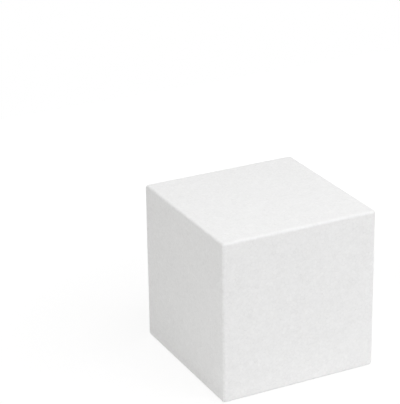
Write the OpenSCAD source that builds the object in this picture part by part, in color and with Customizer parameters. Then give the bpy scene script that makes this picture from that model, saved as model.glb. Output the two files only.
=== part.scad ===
// Foam block: a plain cube of white expanded polystyrene bead foam, made in one piece.
// One radius rounds its twelve edges, and its eight corners are parts of a ball.
// It stands on its underside. The origin is the middle of the underside, +Z is up and -Y is the front.

/* [Block] */
// Width of the block, from left to right
block_width = 152.4; // [40:0.1:300]
// Depth of the block, from front to back
block_depth = 152.4; // [40:0.1:300]
// Height of the block, from the underside to the top
block_height = 152.4; // [40:0.1:300]

/* [Edges] */
// Radius of the soft rounding on every edge and corner
edge_radius = 2.4; // [0.5:0.1:15]

/* [Finish] */
// Colour of the bare foam
foam_colour = "#f1f1ef"; // ["#f1f1ef":natural white, "#a9adb1":graphite grey]

/* [Hidden] */
AXES = [0:2];
// The two ways from the middle of the block along an axis
SIDES = [-1, 1];
// Turns that lay an upright bar along the X, Y and Z axes
BAR_TURNS = [[0, 90, 0], [90, 0, 0], [0, 0, 0]];
block_size = [block_width, block_depth, block_height];
// The core is the box whose corners are the centres of the ball corners
core_size = [for (length = block_size) length - 2 * edge_radius];
$fn = 64;

// Slab of the core's outline that reaches both flat faces across one axis
module face_slab(axis) {
    cube([for (i = AXES) i == axis ? block_size[i] : core_size[i]], center = true);
}

// The four rounded edges that run along one axis, as bars on the core's edges
module edge_bars(axis) {
    first_across = (axis + 1) % 3;
    for (first = SIDES, second = SIDES) {
        way_out = [for (i = AXES) i == axis ? 0 : i == first_across ? first : second];
        translate([for (i = AXES) way_out[i] * core_size[i] / 2])
            rotate(BAR_TURNS[axis])
                cylinder(r = edge_radius, h = core_size[axis], center = true);
    }
}

// The ball corners, on the core's corners
module corner_balls() {
    for (x = SIDES, y = SIDES, z = SIDES)
        translate([x * core_size.x, y * core_size.y, z * core_size.z] / 2)
            sphere(r = edge_radius);
}

module foam_block() {
    color(foam_colour)
        translate([0, 0, block_height / 2]) {
            for (axis = AXES) {
                face_slab(axis);
                edge_bars(axis);
            }
            corner_balls();
        }
}

foam_block();
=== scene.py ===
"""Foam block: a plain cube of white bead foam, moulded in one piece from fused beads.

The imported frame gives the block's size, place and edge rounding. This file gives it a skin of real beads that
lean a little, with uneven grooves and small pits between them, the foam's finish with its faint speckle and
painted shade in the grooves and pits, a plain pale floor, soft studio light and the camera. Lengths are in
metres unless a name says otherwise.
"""

import logging
import math
import random
from dataclasses import dataclass, field
from enum import Enum

import bpy
from mathutils import Matrix, Vector


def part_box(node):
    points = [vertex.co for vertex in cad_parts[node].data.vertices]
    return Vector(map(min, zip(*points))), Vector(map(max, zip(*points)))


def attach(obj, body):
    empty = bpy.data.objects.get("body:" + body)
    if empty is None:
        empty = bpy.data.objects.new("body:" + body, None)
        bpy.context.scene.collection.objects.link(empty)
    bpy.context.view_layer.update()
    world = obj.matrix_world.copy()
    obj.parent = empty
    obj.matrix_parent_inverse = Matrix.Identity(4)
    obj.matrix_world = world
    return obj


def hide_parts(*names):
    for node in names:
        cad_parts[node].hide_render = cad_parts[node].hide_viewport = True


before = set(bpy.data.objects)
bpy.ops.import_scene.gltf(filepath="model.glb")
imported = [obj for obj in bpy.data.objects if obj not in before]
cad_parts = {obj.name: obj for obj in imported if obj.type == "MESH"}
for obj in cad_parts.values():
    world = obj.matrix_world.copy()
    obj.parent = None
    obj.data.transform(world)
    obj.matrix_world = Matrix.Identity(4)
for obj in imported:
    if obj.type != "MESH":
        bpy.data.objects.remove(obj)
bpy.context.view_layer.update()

log = logging.getLogger("foam_block")

MM = 0.001
BLOCK_NODE = "foam_block"
BLOCK_BODY = "root"

Colour = tuple[float, float, float, float]
Range = tuple[float, float]
Socket = bpy.types.NodeSocket
Inputs = dict[str | int, object]

WHITE: Colour = (1.0, 1.0, 1.0, 1.0)


class Mark(Enum):
    """Values that the bead skin's mesh carries for the foam's material."""

    GROOVE = "groove"
    PIT = "pit"
    BEAD_TONE = "bead_tone"


class SelectBy(Enum):
    """Kinds of mesh element that edit mode selects by, as its switches for corners, edges and faces."""

    CORNER = (True, False, False)
    FACE = (False, False, True)


def deselect_all() -> None:
    """Leave object mode's selection empty, the frame's own nodes included."""
    bpy.ops.object.select_all(action="DESELECT")


def take_up(piece: bpy.types.Object) -> None:
    """Make one piece the only selected and active object.

    Args:
        piece: The object to work on.
    """
    deselect_all()
    piece.select_set(True)
    bpy.context.view_layer.objects.active = piece


def open_mesh(kind: SelectBy) -> None:
    """Enter edit mode with everything selected.

    Args:
        kind: The kind of element that is selected.
    """
    bpy.ops.object.mode_set(mode="EDIT")
    bpy.context.tool_settings.mesh_select_mode = kind.value
    bpy.ops.mesh.select_all(action="SELECT")


def close_mesh() -> None:
    """Go back to object mode."""
    bpy.ops.object.mode_set(mode="OBJECT")


@dataclass
class Wiring:
    """Adds nodes to the tree of a material, a world or a modifier, filled in and linked.

    Attributes:
        tree: The node tree that is wired.
    """

    tree: bpy.types.NodeTree

    def add(self, kind: str, inputs: Inputs | None = None, **settings: object) -> bpy.types.Node:
        """Add a node, set it up and fill or link its inputs.

        Args:
            kind: The node's type name.
            inputs: Input names or numbers, each with a value or the output socket to link.
            settings: Properties of the node itself.

        Returns:
            The new node.
        """
        node = self.tree.nodes.new(kind)
        for name, value in settings.items():
            setattr(node, name, value)
        for name, value in (inputs or {}).items():
            if isinstance(value, Socket):
                self.tree.links.new(value, node.inputs[name])
            else:
                node.inputs[name].default_value = value
        return node

    def spread(self, value: Socket, low: float, high: float) -> Socket:
        """Map a value from 0 to 1 onto a range.

        Args:
            value: The output to map.
            low: What 0 becomes.
            high: What 1 becomes.

        Returns:
            The mapped output.
        """
        node = self.add("ShaderNodeMapRange", {"Value": value, "To Min": low, "To Max": high})
        return node.outputs["Result"]

    def times(self, *values: Socket) -> Socket:
        """Multiply outputs with one another.

        Args:
            values: The outputs to multiply.

        Returns:
            Their product.
        """
        product = values[0]
        for value in values[1:]:
            product = self.add("ShaderNodeMath", {0: product, 1: value}, operation="MULTIPLY").outputs[0]
        return product

    def either(self, one: Socket, other: Socket) -> Socket:
        """Join two switches of 0 or 1, so that the result is on where either of them is."""
        return self.add("ShaderNodeMath", {0: one, 1: other}, operation="MAXIMUM").outputs[0]


@dataclass(frozen=True)
class BeadFoamFinish:
    """Bare white bead foam: matte, tone and gloss changing a little from bead to bead, painted shade in grooves
    and pits.

    Attributes:
        name: The material's name.
        colour: The foam's colour, which the tones below multiply.
        bead_tone_range: Tones of the darkest and the lightest bead.
        groove_painted_shade: Tone of the painted shade in the deepest grooves.
        pit_painted_shade: Tone of the painted shade at the bottom of the largest pits.
        mottle_size: Width of the broad, faint patches.
        mottle_range: Tones between which the patches change.
        speckle_size: Width of the speckles, which are smaller than a bead.
        speckle_range: Tones between which the speckles change.
        grain_size: Width of the grain on the beads' own skin.
        grain_height: Height of that grain.
        noise_detail: Number of finer layers within each noise.
        roughness_range: Roughness of the smoothest and the roughest bead.
        gloss: Strength of the mirror-like part of the reflection.
    """

    name: str = "bead_foam"
    colour: Colour = (0.889, 0.888, 0.889, 1.0)
    bead_tone_range: Range = (0.98, 1.02)
    # Painted shade: the next two tones darken the colour in the grooves and the pits, where shade falls.
    groove_painted_shade: float = 0.91
    pit_painted_shade: float = 0.93
    mottle_size: float = 16 * MM
    mottle_range: Range = (0.991, 1.006)
    speckle_size: float = 2.2 * MM
    speckle_range: Range = (0.945, 1.055)
    grain_size: float = 0.22 * MM
    grain_height: float = 0.02 * MM
    noise_detail: float = 2.0
    roughness_range: Range = (0.52, 0.68)
    gloss: float = 0.2

    def material(self) -> bpy.types.Material:
        """Build the foam's material.

        Returns:
            The material, which reads the bead skin's marks and Object coordinates.
        """
        made = bpy.data.materials.new(self.name)
        made.use_nodes = True
        made.node_tree.nodes.clear()
        wiring = Wiring(made.node_tree)
        place = wiring.add("ShaderNodeTexCoord").outputs["Object"]
        tone = self._tone(wiring, place)
        grain = self._noise(wiring, place, self.grain_size)
        bead = self._mark(wiring, Mark.BEAD_TONE)
        shader = wiring.add(
            "ShaderNodeBsdfPrincipled",
            {
                "Base Color": self._tinted(wiring, tone),
                "Roughness": wiring.spread(bead, *self.roughness_range),
                "Specular IOR Level": self.gloss,
                "Normal": self._bumps(wiring, grain),
            },
        )
        wiring.add("ShaderNodeOutputMaterial", {"Surface": shader.outputs["BSDF"]})
        return made

    def _mark(self, wiring: Wiring, mark: Mark) -> Socket:
        """Read one of the bead skin's marks, as a value from 0 to 1."""
        return wiring.add("ShaderNodeAttribute", attribute_name=mark.value).outputs["Fac"]

    def _tone(self, wiring: Wiring, place: Socket) -> Socket:
        """Work out how light the foam is at each point, with the painted shade in the grooves and the pits.

        Args:
            wiring: The material's wiring.
            place: The point, in Object coordinates.

        Returns:
            The factor on the foam's colour.
        """
        return wiring.times(
            wiring.spread(self._noise(wiring, place, self.mottle_size), *self.mottle_range),
            wiring.spread(self._noise(wiring, place, self.speckle_size), *self.speckle_range),
            wiring.spread(self._mark(wiring, Mark.BEAD_TONE), *self.bead_tone_range),
            # Painted shade: the colour is darkened in the grooves and at the bottom of the pits, where shade
            # falls.
            wiring.spread(self._mark(wiring, Mark.GROOVE), 1.0, self.groove_painted_shade),
            wiring.spread(self._mark(wiring, Mark.PIT), 1.0, self.pit_painted_shade),
        )

    def _tinted(self, wiring: Wiring, tone: Socket) -> Socket:
        """Multiply the foam's colour by a tone.

        Args:
            wiring: The material's wiring.
            tone: The factor on the colour.

        Returns:
            The colour output.
        """
        mix = wiring.add("ShaderNodeVectorMath", {0: self.colour[:3], "Scale": tone}, operation="SCALE")
        return mix.outputs["Vector"]

    def _noise(self, wiring: Wiring, place: Socket, size: float) -> Socket:
        """Make soft noise through the foam.

        Args:
            wiring: The material's wiring.
            place: The point, in Object coordinates.
            size: Width of the noise's largest spots.

        Returns:
            The noise, from 0 to 1.
        """
        inputs = {"Vector": place, "Scale": 1 / size, "Detail": self.noise_detail}
        return wiring.add("ShaderNodeTexNoise", inputs).outputs["Fac"]

    def _bumps(self, wiring: Wiring, grain: Socket) -> Socket:
        """Turn the grain into a bumped normal."""
        bump = wiring.add("ShaderNodeBump", {"Distance": self.grain_height, "Height": grain})
        return bump.outputs["Normal"]


@dataclass
class BeadSkin:
    """The block's surface of fused beads, modelled as one closed mesh in the CAD block's place.

    Attributes:
        block: The CAD block, on whose surface the beads lie.
        low: The block's lowest corner.
        high: The block's highest corner.
        name: The piece's name.
        beads_along_edge: Number of steps from bead to bead along each of the block's edges.
        mixing_rounds: How often the beads are shaken out of their rows.
        mixing_share: How far each round moves a bead, in distances between beads.
        evening_share: How much of the way each round evens the beads out again.
        groove_half_width: How far a bead's rim stands back from the middle of a groove.
        shortest_side: Length below which a side of a bead is closed.
        edge_radius: Radius of the block's rounded edges.
        ring_insets: Where the beads are cut along the block's edges, in edge radii from the faces.
        ring_slack: How near a cut a point has to be for the cut to use it.
        flat_margin: How far from the block's edges its faces count as flat, in edge radii.
        faintest_groove: Depth of the faintest grooves, as a share of the deepest.
        groove_depth: Depth of the deepest grooves.
        steepest_bead: Largest slope of a leaning bead, along each axis.
        tone_power: How strongly the beads' tones gather in the middle of their range.
        pit_share: Share of the beads' corners that are tried for a pit.
        pit_size: How far along the beads' sides a pit reaches from its corner.
        pit_room: Shortest side beside a pit, in pit sizes.
        smallest_pit: Depth of the shallowest pits, as a share of the deepest.
        pit_depth: Depth of the deepest pits.
        face_weight: How strongly large faces draw the smoothed shading.
        seed: Start of every random draw.
        piece: The finished piece.
    """

    block: bpy.types.Object
    low: Vector
    high: Vector
    name: str = "foam_block_beads"
    beads_along_edge: int = 42
    mixing_rounds: int = 9
    mixing_share: float = 0.22
    evening_share: float = 0.3
    groove_half_width: float = 0.2 * MM
    shortest_side: float = 0.55 * MM
    edge_radius: float = 2.4 * MM
    ring_insets: tuple[float, ...] = (1.0, 0.5)
    ring_slack: float = 0.12 * MM
    flat_margin: float = 2.0
    faintest_groove: float = 0.15
    groove_depth: float = 0.14 * MM
    steepest_bead: float = 0.03
    tone_power: int = 3
    pit_share: float = 0.045
    pit_size: float = 0.45 * MM
    pit_room: float = 2.5
    smallest_pit: float = 0.45
    pit_depth: float = 0.36 * MM
    face_weight: int = 100
    seed: int = 7
    piece: bpy.types.Object | None = field(default=None, init=False)

    def build(self) -> bpy.types.Object:
        """Model the beads from a cube.

        Returns:
            The finished piece.
        """
        self._lay_out_beads()
        self._mix_beads()
        self._grow_cells()
        self._even_cells()
        self._note_beads()
        self._open_pits()
        self._part_grooves()
        self._add_edge_rings()
        self._seat_on_block()
        self._press_grooves()
        self._keep_marks()
        self._smooth()
        return self.piece

    @property
    def pitch(self) -> float:
        """Mean distance between neighbouring beads."""
        return self._edge_length / self.beads_along_edge

    @property
    def _edge_length(self) -> float:
        """Length of the block's edges."""
        return self.high.z - self.low.z

    def _apply(self, kind: str, **settings: object) -> None:
        """Add a modifier to the piece and apply it.

        Args:
            kind: The modifier's type.
            settings: The modifier's properties.
        """
        modifier = self.piece.modifiers.new(kind.lower(), kind)
        for name, value in settings.items():
            setattr(modifier, name, value)
        take_up(self.piece)
        bpy.ops.object.modifier_apply(modifier=modifier.name)

    def _seat_on_block(self) -> None:
        """Bring every point onto the surface of the CAD block."""
        self._apply("SHRINKWRAP", target=self.block, wrap_method="NEAREST_SURFACEPOINT")

    def _lay_out_beads(self) -> None:
        """Start from a cube whose grid has one point for each bead."""
        deselect_all()
        bpy.ops.mesh.primitive_cube_add(size=self._edge_length, location=(self.low + self.high) / 2)
        self.piece = bpy.context.active_object
        self.piece.name = self.name
        self.piece.data.name = self.name
        take_up(self.piece)
        bpy.ops.object.transform_apply(location=True, rotation=True, scale=True)
        open_mesh(SelectBy.FACE)
        bpy.ops.mesh.subdivide(number_cuts=self.beads_along_edge - 1)
        bpy.ops.mesh.quads_convert_to_tris(quad_method="BEAUTY", ngon_method="BEAUTY")
        close_mesh()
        self._seat_on_block()

    def _mix_beads(self) -> None:
        """Shake the points out of their rows and join each to its new neighbours, as poured beads lie."""
        for turn in range(self.mixing_rounds):
            take_up(self.piece)
            open_mesh(SelectBy.CORNER)
            bpy.ops.transform.vertex_random(
                offset=self.mixing_share * self.pitch,
                uniform=1.0,
                seed=self.seed + turn,
                wait_for_input=False,
            )
            close_mesh()
            self._seat_on_block()
            take_up(self.piece)
            open_mesh(SelectBy.FACE)
            bpy.ops.mesh.beautify_fill(angle_limit=math.pi)
            bpy.ops.mesh.vertices_smooth(factor=self.evening_share)
            close_mesh()
            self._seat_on_block()

    def _grow_cells(self) -> None:
        """Give each point its own cell, so that the beads meet in many-sided outlines."""
        tree = bpy.data.node_groups.new("bead_cells", "GeometryNodeTree")
        tree.interface.new_socket("Geometry", in_out="INPUT", socket_type="NodeSocketGeometry")
        tree.interface.new_socket("Geometry", in_out="OUTPUT", socket_type="NodeSocketGeometry")
        wiring = Wiring(tree)
        start = wiring.add("NodeGroupInput")
        cells = wiring.add("GeometryNodeDualMesh", {"Mesh": start.outputs[0]})
        wiring.add("NodeGroupOutput", {0: cells.outputs[0]})
        self._apply("NODES", node_group=tree)

    def _even_cells(self) -> None:
        """Close the cells' shortest sides, which no groove could follow."""
        take_up(self.piece)
        open_mesh(SelectBy.CORNER)
        bpy.ops.mesh.remove_doubles(threshold=self.shortest_side)
        close_mesh()
        self._seat_on_block()

    def _note_beads(self) -> None:
        """Give each bead its own tone, mark all outlines as uneven grooves and put a pit at some corners."""
        mesh = self.piece.data
        draw = random.Random(self.seed)
        tones = [0.5 * (1 + draw.uniform(-1, 1) ** self.tone_power) for _ in mesh.polygons]
        mesh.attributes.new(Mark.BEAD_TONE.value, "FLOAT", "FACE").data.foreach_set("value", tones)
        groove = self.piece.vertex_groups.new(name=Mark.GROOVE.value)
        for corner in range(len(mesh.vertices)):
            groove.add([corner], draw.uniform(self.faintest_groove, 1.0), "REPLACE")
        pit = self.piece.vertex_groups.new(name=Mark.PIT.value)
        for corner in self._pit_corners(draw):
            pit.add([corner], draw.uniform(self.smallest_pit, 1.0), "REPLACE")

    def _pit_corners(self, draw: random.Random) -> list[int]:
        """Choose the corners that get a pit: on a flat face, with room round them and none beside another.

        Args:
            draw: The source of chance.

        Returns:
            The chosen corners' numbers.
        """
        mesh = self.piece.data
        beside: dict[int, list[int]] = {vertex.index: [] for vertex in mesh.vertices}
        barred = {vertex.index for vertex in mesh.vertices if self._faces_near(vertex.co) > 1}
        for edge in mesh.edges:
            one, other = edge.vertices
            beside[one].append(other)
            beside[other].append(one)
            side = (mesh.vertices[one].co - mesh.vertices[other].co).length
            if side < self.pit_room * self.pit_size:
                barred.update((one, other))
        chosen = []
        for corner in draw.sample(range(len(mesh.vertices)), int(self.pit_share * len(mesh.vertices))):
            if corner not in barred:
                chosen.append(corner)
                barred.update(beside[corner])
        return chosen

    def _faces_near(self, place: Vector) -> int:
        """Count the block's faces that a point is on or close to."""
        gaps = [*(place - self.low), *(self.high - place)]
        return sum(gap < self.flat_margin * self.edge_radius for gap in gaps)

    def _open_pits(self) -> None:
        """Cut off the marked corners, which leaves a small three-sided gap between the beads there."""
        self._apply(
            "BEVEL",
            affect="VERTICES",
            width=self.pit_size,
            segments=1,
            use_clamp_overlap=False,
            limit_method="VGROUP",
            vertex_group=Mark.PIT.value,
        )

    def _make_active(self, mark: Mark) -> None:
        """Make a mark's vertex group the active one."""
        self.piece.vertex_groups.active_index = self.piece.vertex_groups[mark.value].index

    def _part_grooves(self) -> None:
        """Inset each bead by half a groove, and leave the pits between them as they are."""
        take_up(self.piece)
        open_mesh(SelectBy.CORNER)
        bpy.ops.mesh.select_all(action="DESELECT")
        self._make_active(Mark.PIT)
        bpy.ops.object.vertex_group_select()
        bpy.ops.mesh.select_mode(type="FACE")
        bpy.ops.mesh.select_all(action="INVERT")
        bpy.ops.mesh.inset(thickness=self.groove_half_width, use_individual=True, use_even_offset=True)
        for mark in (Mark.GROOVE, Mark.PIT):
            self._make_active(mark)
            bpy.ops.object.vertex_group_remove_from()
        close_mesh()

    def _add_edge_rings(self) -> None:
        """Cut the beads along the rounded edges, so that they can bend round them."""
        for axis in range(3):
            way = Vector([float(i == axis) for i in range(3)])
            for share in self.ring_insets:
                inset = self.edge_radius * share
                for place in (self.low[axis] + inset, self.high[axis] - inset):
                    open_mesh(SelectBy.FACE)
                    bpy.ops.mesh.bisect(plane_co=way * place, plane_no=way, threshold=self.ring_slack)
                    close_mesh()

    def _weights(self, mark: Mark) -> list[float]:
        """List how strongly each point carries a mark, with 0 where it doesn't."""
        index = self.piece.vertex_groups[mark.value].index
        return [
            next((entry.weight for entry in vertex.groups if entry.group == index), 0.0)
            for vertex in self.piece.data.vertices
        ]

    def _lean(self, bead: bpy.types.MeshPolygon, draw: random.Random) -> dict[int, float]:
        """Tilt a bead's face a little, about its highest corner.

        Args:
            bead: The bead's face.
            draw: The source of chance.

        Returns:
            The depth of each of its points, by number.
        """
        slope = Vector([draw.uniform(-self.steepest_bead, self.steepest_bead) for _ in range(3)])
        heights = {point: slope.dot(self.piece.data.vertices[point].co) for point in bead.vertices}
        highest = max(heights.values())
        return {point: highest - height for point, height in heights.items()}

    def _depths(self) -> list[float]:
        """Work out how deep each point lies: the beads lean, and grooves and pits start from the beads' rims.

        Returns:
            The depths in metres, in the order of the points.
        """
        mesh = self.piece.data
        draw = random.Random(self.seed + 1)
        marked = [
            max(self.groove_depth * groove, self.pit_depth * pit)
            for groove, pit in zip(self._weights(Mark.GROOVE), self._weights(Mark.PIT))
        ]
        leaning = [0.0] * len(marked)
        for face in mesh.polygons:
            if self._faces_near(face.center) == 1 and not any(marked[point] for point in face.vertices):
                for point, depth in self._lean(face, draw).items():
                    leaning[point] = depth
        rims: dict[int, list[float]] = {point: [] for point, depth in enumerate(marked) if depth}
        for edge in mesh.edges:
            for one, other in (tuple(edge.vertices), tuple(reversed(edge.vertices))):
                if marked[one] and not marked[other]:
                    rims[one].append(leaning[other])
        return [
            depth + (sum(rims[point]) / len(rims[point]) if rims.get(point) else leaning[point])
            for point, depth in enumerate(marked)
        ]

    def _press_grooves(self) -> None:
        """Press the grooves and the pits in, and let the beads lean."""
        depths = self._depths()
        deepest = max(depths)
        pressed = self.piece.vertex_groups.new(name="depth")
        for point, depth in enumerate(depths):
            pressed.add([point], depth / deepest, "REPLACE")
        self._apply(
            "DISPLACE", strength=-deepest, mid_level=0.0, direction="NORMAL", vertex_group=pressed.name
        )

    def _keep_marks(self) -> None:
        """Turn the grooves' and the pits' vertex groups into attributes, which the material reads to paint
        shade into them.
        """
        kept = {mark: self._weights(mark) for mark in (Mark.GROOVE, Mark.PIT)}
        self.piece.vertex_groups.clear()
        for mark, weights in kept.items():
            attribute = self.piece.data.attributes.new(mark.value, "FLOAT", "POINT")
            attribute.data.foreach_set("value", weights)

    def _smooth(self) -> None:
        """Point all faces outwards and smooth the shading over the beads' rims."""
        take_up(self.piece)
        open_mesh(SelectBy.FACE)
        bpy.ops.mesh.normals_make_consistent(inside=False)
        close_mesh()
        bpy.ops.object.shade_smooth()
        self._apply("WEIGHTED_NORMAL", mode="FACE_AREA", weight=self.face_weight)


def mix_for_viewer(wiring: Wiring, light: Socket, seen: Socket) -> Socket:
    """Show one shader to the camera, directly or in gloss and glass, and give its light with another.

    Args:
        wiring: The wiring of the material or the world.
        light: The shader that lights the block.
        seen: The shader that is seen.

    Returns:
        The mixed shader.
    """
    path = wiring.add("ShaderNodeLightPath").outputs
    camera_or_gloss = wiring.either(path["Is Camera Ray"], path["Is Glossy Ray"])
    viewer = wiring.either(camera_or_gloss, path["Is Transmission Ray"])
    return wiring.add("ShaderNodeMixShader", {0: viewer, 1: light, 2: seen}).outputs[0]


@dataclass(frozen=True)
class FloorFinish:
    """Plain pale floor, which the camera sees as white with a faint shadow of the block.

    Attributes:
        name: The material's name.
        colour: Colour with which the floor lights the block.
        shadow_colour: Colour that takes up the block's shadow, where the camera sees the floor.
        white_near: Strength of the white that the camera sees on top of it, close to the block.
        white_far: Strength of that white far from the block.
        white_from: Distance from the block at which the white starts to rise.
        white_to: Distance at which the white is at its full strength.
    """

    name: str = "floor"
    colour: Colour = (0.9, 0.9, 0.9, 1.0)
    shadow_colour: Colour = (0.2, 0.2, 0.2, 1.0)
    white_near: float = 0.83
    white_far: float = 1.0
    white_from: float = 0.2
    white_to: float = 0.6

    def material(self) -> bpy.types.Material:
        """Build the floor's material.

        Returns:
            The material, which shows the camera a white that the block's light doesn't get.
        """
        made = bpy.data.materials.new(self.name)
        made.use_nodes = True
        made.node_tree.nodes.clear()
        wiring = Wiring(made.node_tree)
        floor = wiring.add("ShaderNodeBsdfDiffuse", {"Color": self.colour}).outputs[0]
        shaded = wiring.add("ShaderNodeBsdfDiffuse", {"Color": self.shadow_colour}).outputs[0]
        glow = wiring.add("ShaderNodeEmission", {"Strength": self._white(wiring)}).outputs[0]
        seen = wiring.add("ShaderNodeAddShader", {0: shaded, 1: glow}).outputs[0]
        wiring.add("ShaderNodeOutputMaterial", {"Surface": mix_for_viewer(wiring, floor, seen)})
        return made

    def _white(self, wiring: Wiring) -> Socket:
        """Let the white rise with the distance from the block.

        Args:
            wiring: The material's wiring.

        Returns:
            The strength of the white.
        """
        place = wiring.add("ShaderNodeTexCoord").outputs["Object"]
        away = wiring.add("ShaderNodeVectorMath", {0: place}, operation="LENGTH").outputs["Value"]
        rise = wiring.add(
            "ShaderNodeMapRange",
            {
                "Value": away,
                "From Min": self.white_from,
                "From Max": self.white_to,
                "To Min": self.white_near,
                "To Max": self.white_far,
            },
            interpolation_type="SMOOTHSTEP",
        )
        return rise.outputs["Result"]


@dataclass(frozen=True)
class SoftLamp:
    """One soft lamp, which faces the block.

    Attributes:
        name: The lamp's name.
        azimuth: Turn from the block's front towards its right, in degrees.
        elevation: Angle above the horizon, in degrees.
        power: Power in watts.
        width: Width in metres.
        height: Height in metres.
        colour: Colour of the light.
    """

    name: str
    azimuth: float
    elevation: float
    power: float
    width: float = 1.0
    height: float = 1.0
    colour: tuple[float, float, float] = WHITE[:3]


def direction(azimuth: float, elevation: float) -> Vector:
    """Point a unit vector away from the block.

    Args:
        azimuth: Turn from the front towards the right, in degrees.
        elevation: Angle above the horizon, in degrees.

    Returns:
        The unit vector.
    """
    turn = math.radians(azimuth)
    rise = math.radians(elevation)
    level = math.cos(rise)
    return Vector((math.sin(turn) * level, -math.cos(turn) * level, math.sin(rise)))


@dataclass
class Studio:
    """The floor, the soft light and the white surroundings.

    Attributes:
        floor_finish: Finish of the floor.
        floor_size: Length of the floor's sides.
        sky_strength: Strength of the even light from all round.
        lamp_distance: Distance of the lamps from the block's middle.
        lamps: The lamps.
    """

    floor_finish: FloorFinish
    floor_size: float = 1.4
    sky_strength: float = 0.18
    lamp_distance: float = 1.3
    lamps: tuple[SoftLamp, ...] = (
        SoftLamp("low_left_lamp", azimuth=-75, elevation=25, power=5.35, colour=(1.0, 0.995, 0.97)),
        SoftLamp("upper_front_lamp", azimuth=0, elevation=60, power=6.15),
        SoftLamp("upper_right_lamp", azimuth=60, elevation=60, power=6.1),
        SoftLamp("low_right_lamp", azimuth=45, elevation=10, power=3.9, width=1.4, height=0.4),
        SoftLamp("rear_lamp", azimuth=180, elevation=30, power=3.35),
    )

    def build(self, middle: Vector) -> None:
        """Set up the floor, the world and the lamps.

        Args:
            middle: Middle of the block, which the lamps face.
        """
        self._lay_floor()
        self._surround()
        for lamp in self.lamps:
            self._hang(lamp, middle)

    def _lay_floor(self) -> None:
        """Lay the floor under the block."""
        deselect_all()
        bpy.ops.mesh.primitive_plane_add(size=self.floor_size, location=(0, 0, 0))
        floor = bpy.context.active_object
        floor.name = "floor"
        floor.data.materials.append(self.floor_finish.material())

    def _surround(self) -> None:
        """Light the block evenly from all round, with plain white behind it for the camera."""
        world = bpy.data.worlds.new("studio")
        bpy.context.scene.world = world
        world.use_nodes = True
        world.node_tree.nodes.clear()
        wiring = Wiring(world.node_tree)
        light = wiring.add("ShaderNodeBackground", {"Color": WHITE, "Strength": self.sky_strength}).outputs[0]
        white = wiring.add("ShaderNodeBackground", {"Color": WHITE, "Strength": 1.0}).outputs[0]
        wiring.add("ShaderNodeOutputWorld", {"Surface": mix_for_viewer(wiring, light, white)})

    def _hang(self, lamp: SoftLamp, middle: Vector) -> None:
        """Hang a lamp so that it faces the block.

        Args:
            lamp: The lamp.
            middle: Middle of the block.
        """
        light = bpy.data.lights.new(lamp.name, "AREA")
        light.shape = "RECTANGLE"
        light.size = lamp.width
        light.size_y = lamp.height
        light.energy = lamp.power
        light.color = lamp.colour
        holder = bpy.data.objects.new(lamp.name, light)
        bpy.context.scene.collection.objects.link(holder)
        way = direction(lamp.azimuth, lamp.elevation)
        holder.location = middle + way * self.lamp_distance
        holder.rotation_euler = way.to_track_quat("Z", "Y").to_euler()


@dataclass
class BenchCamera:
    """The camera, placed and turned as the photograph's was.

    Attributes:
        focal_length_mm: Focal length in millimetres.
        sensor_mm: Width of the sensor in millimetres.
        distance_in_edges: Distance from the block's middle, in lengths of its edges.
        azimuth: Where the camera stands, as a turn from the block's front towards its right, in degrees.
        elevation: Where it stands above the block's middle, in degrees.
        pan: Turn of the camera itself about the upright, in degrees.
        tilt_down: How far it looks down, in degrees.
        roll: Turn about its own line of sight, in degrees.
    """

    focal_length_mm: float = 155.07
    sensor_mm: float = 36.0
    distance_in_edges: float = 10.417
    azimuth: float = -28.56
    elevation: float = 25.154
    pan: float = -26.484
    tilt_down: float = 22.757
    roll: float = -0.872

    def build(self, middle: Vector, edge_length: float) -> None:
        """Place the camera.

        Args:
            middle: Middle of the block.
            edge_length: Length of the block's edges.
        """
        optics = bpy.data.cameras.new("camera")
        optics.lens = self.focal_length_mm
        optics.sensor_width = self.sensor_mm
        camera = bpy.data.objects.new("camera", optics)
        bpy.context.scene.collection.objects.link(camera)
        bpy.context.scene.camera = camera
        place = middle + direction(self.azimuth, self.elevation) * self.distance_in_edges * edge_length
        turn = (
            Matrix.Rotation(math.radians(self.pan), 4, "Z")
            @ Matrix.Rotation(math.pi / 2 - math.radians(self.tilt_down), 4, "X")
            @ Matrix.Rotation(math.radians(self.roll), 4, "Z")
        )
        camera.matrix_world = Matrix.Translation(place) @ turn


def main() -> None:
    """Build the block's bead skin, then the studio and the camera."""
    logging.basicConfig(level=logging.INFO, format="%(name)s: %(message)s")
    low, high = (Vector(corner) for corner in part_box(BLOCK_NODE))
    middle = (low + high) / 2
    edge_length = high.z - low.z

    skin = BeadSkin(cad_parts[BLOCK_NODE], low, high)
    piece = skin.build()
    piece.data.materials.append(BeadFoamFinish().material())
    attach(piece, BLOCK_BODY)
    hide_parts(BLOCK_NODE)
    triangles = sum(len(face.vertices) - 2 for face in piece.data.polygons)
    log.info("%s: beads %.2f mm apart, %d triangles", piece.name, skin.pitch / MM, triangles)

    Studio(FloorFinish()).build(middle)
    log.info("floor, surroundings and lamps are up")
    BenchCamera().build(middle, edge_length)
    log.info("camera is in place")
    bpy.context.scene.view_settings.view_transform = "Standard"


if __name__ == "__main__":
    main()
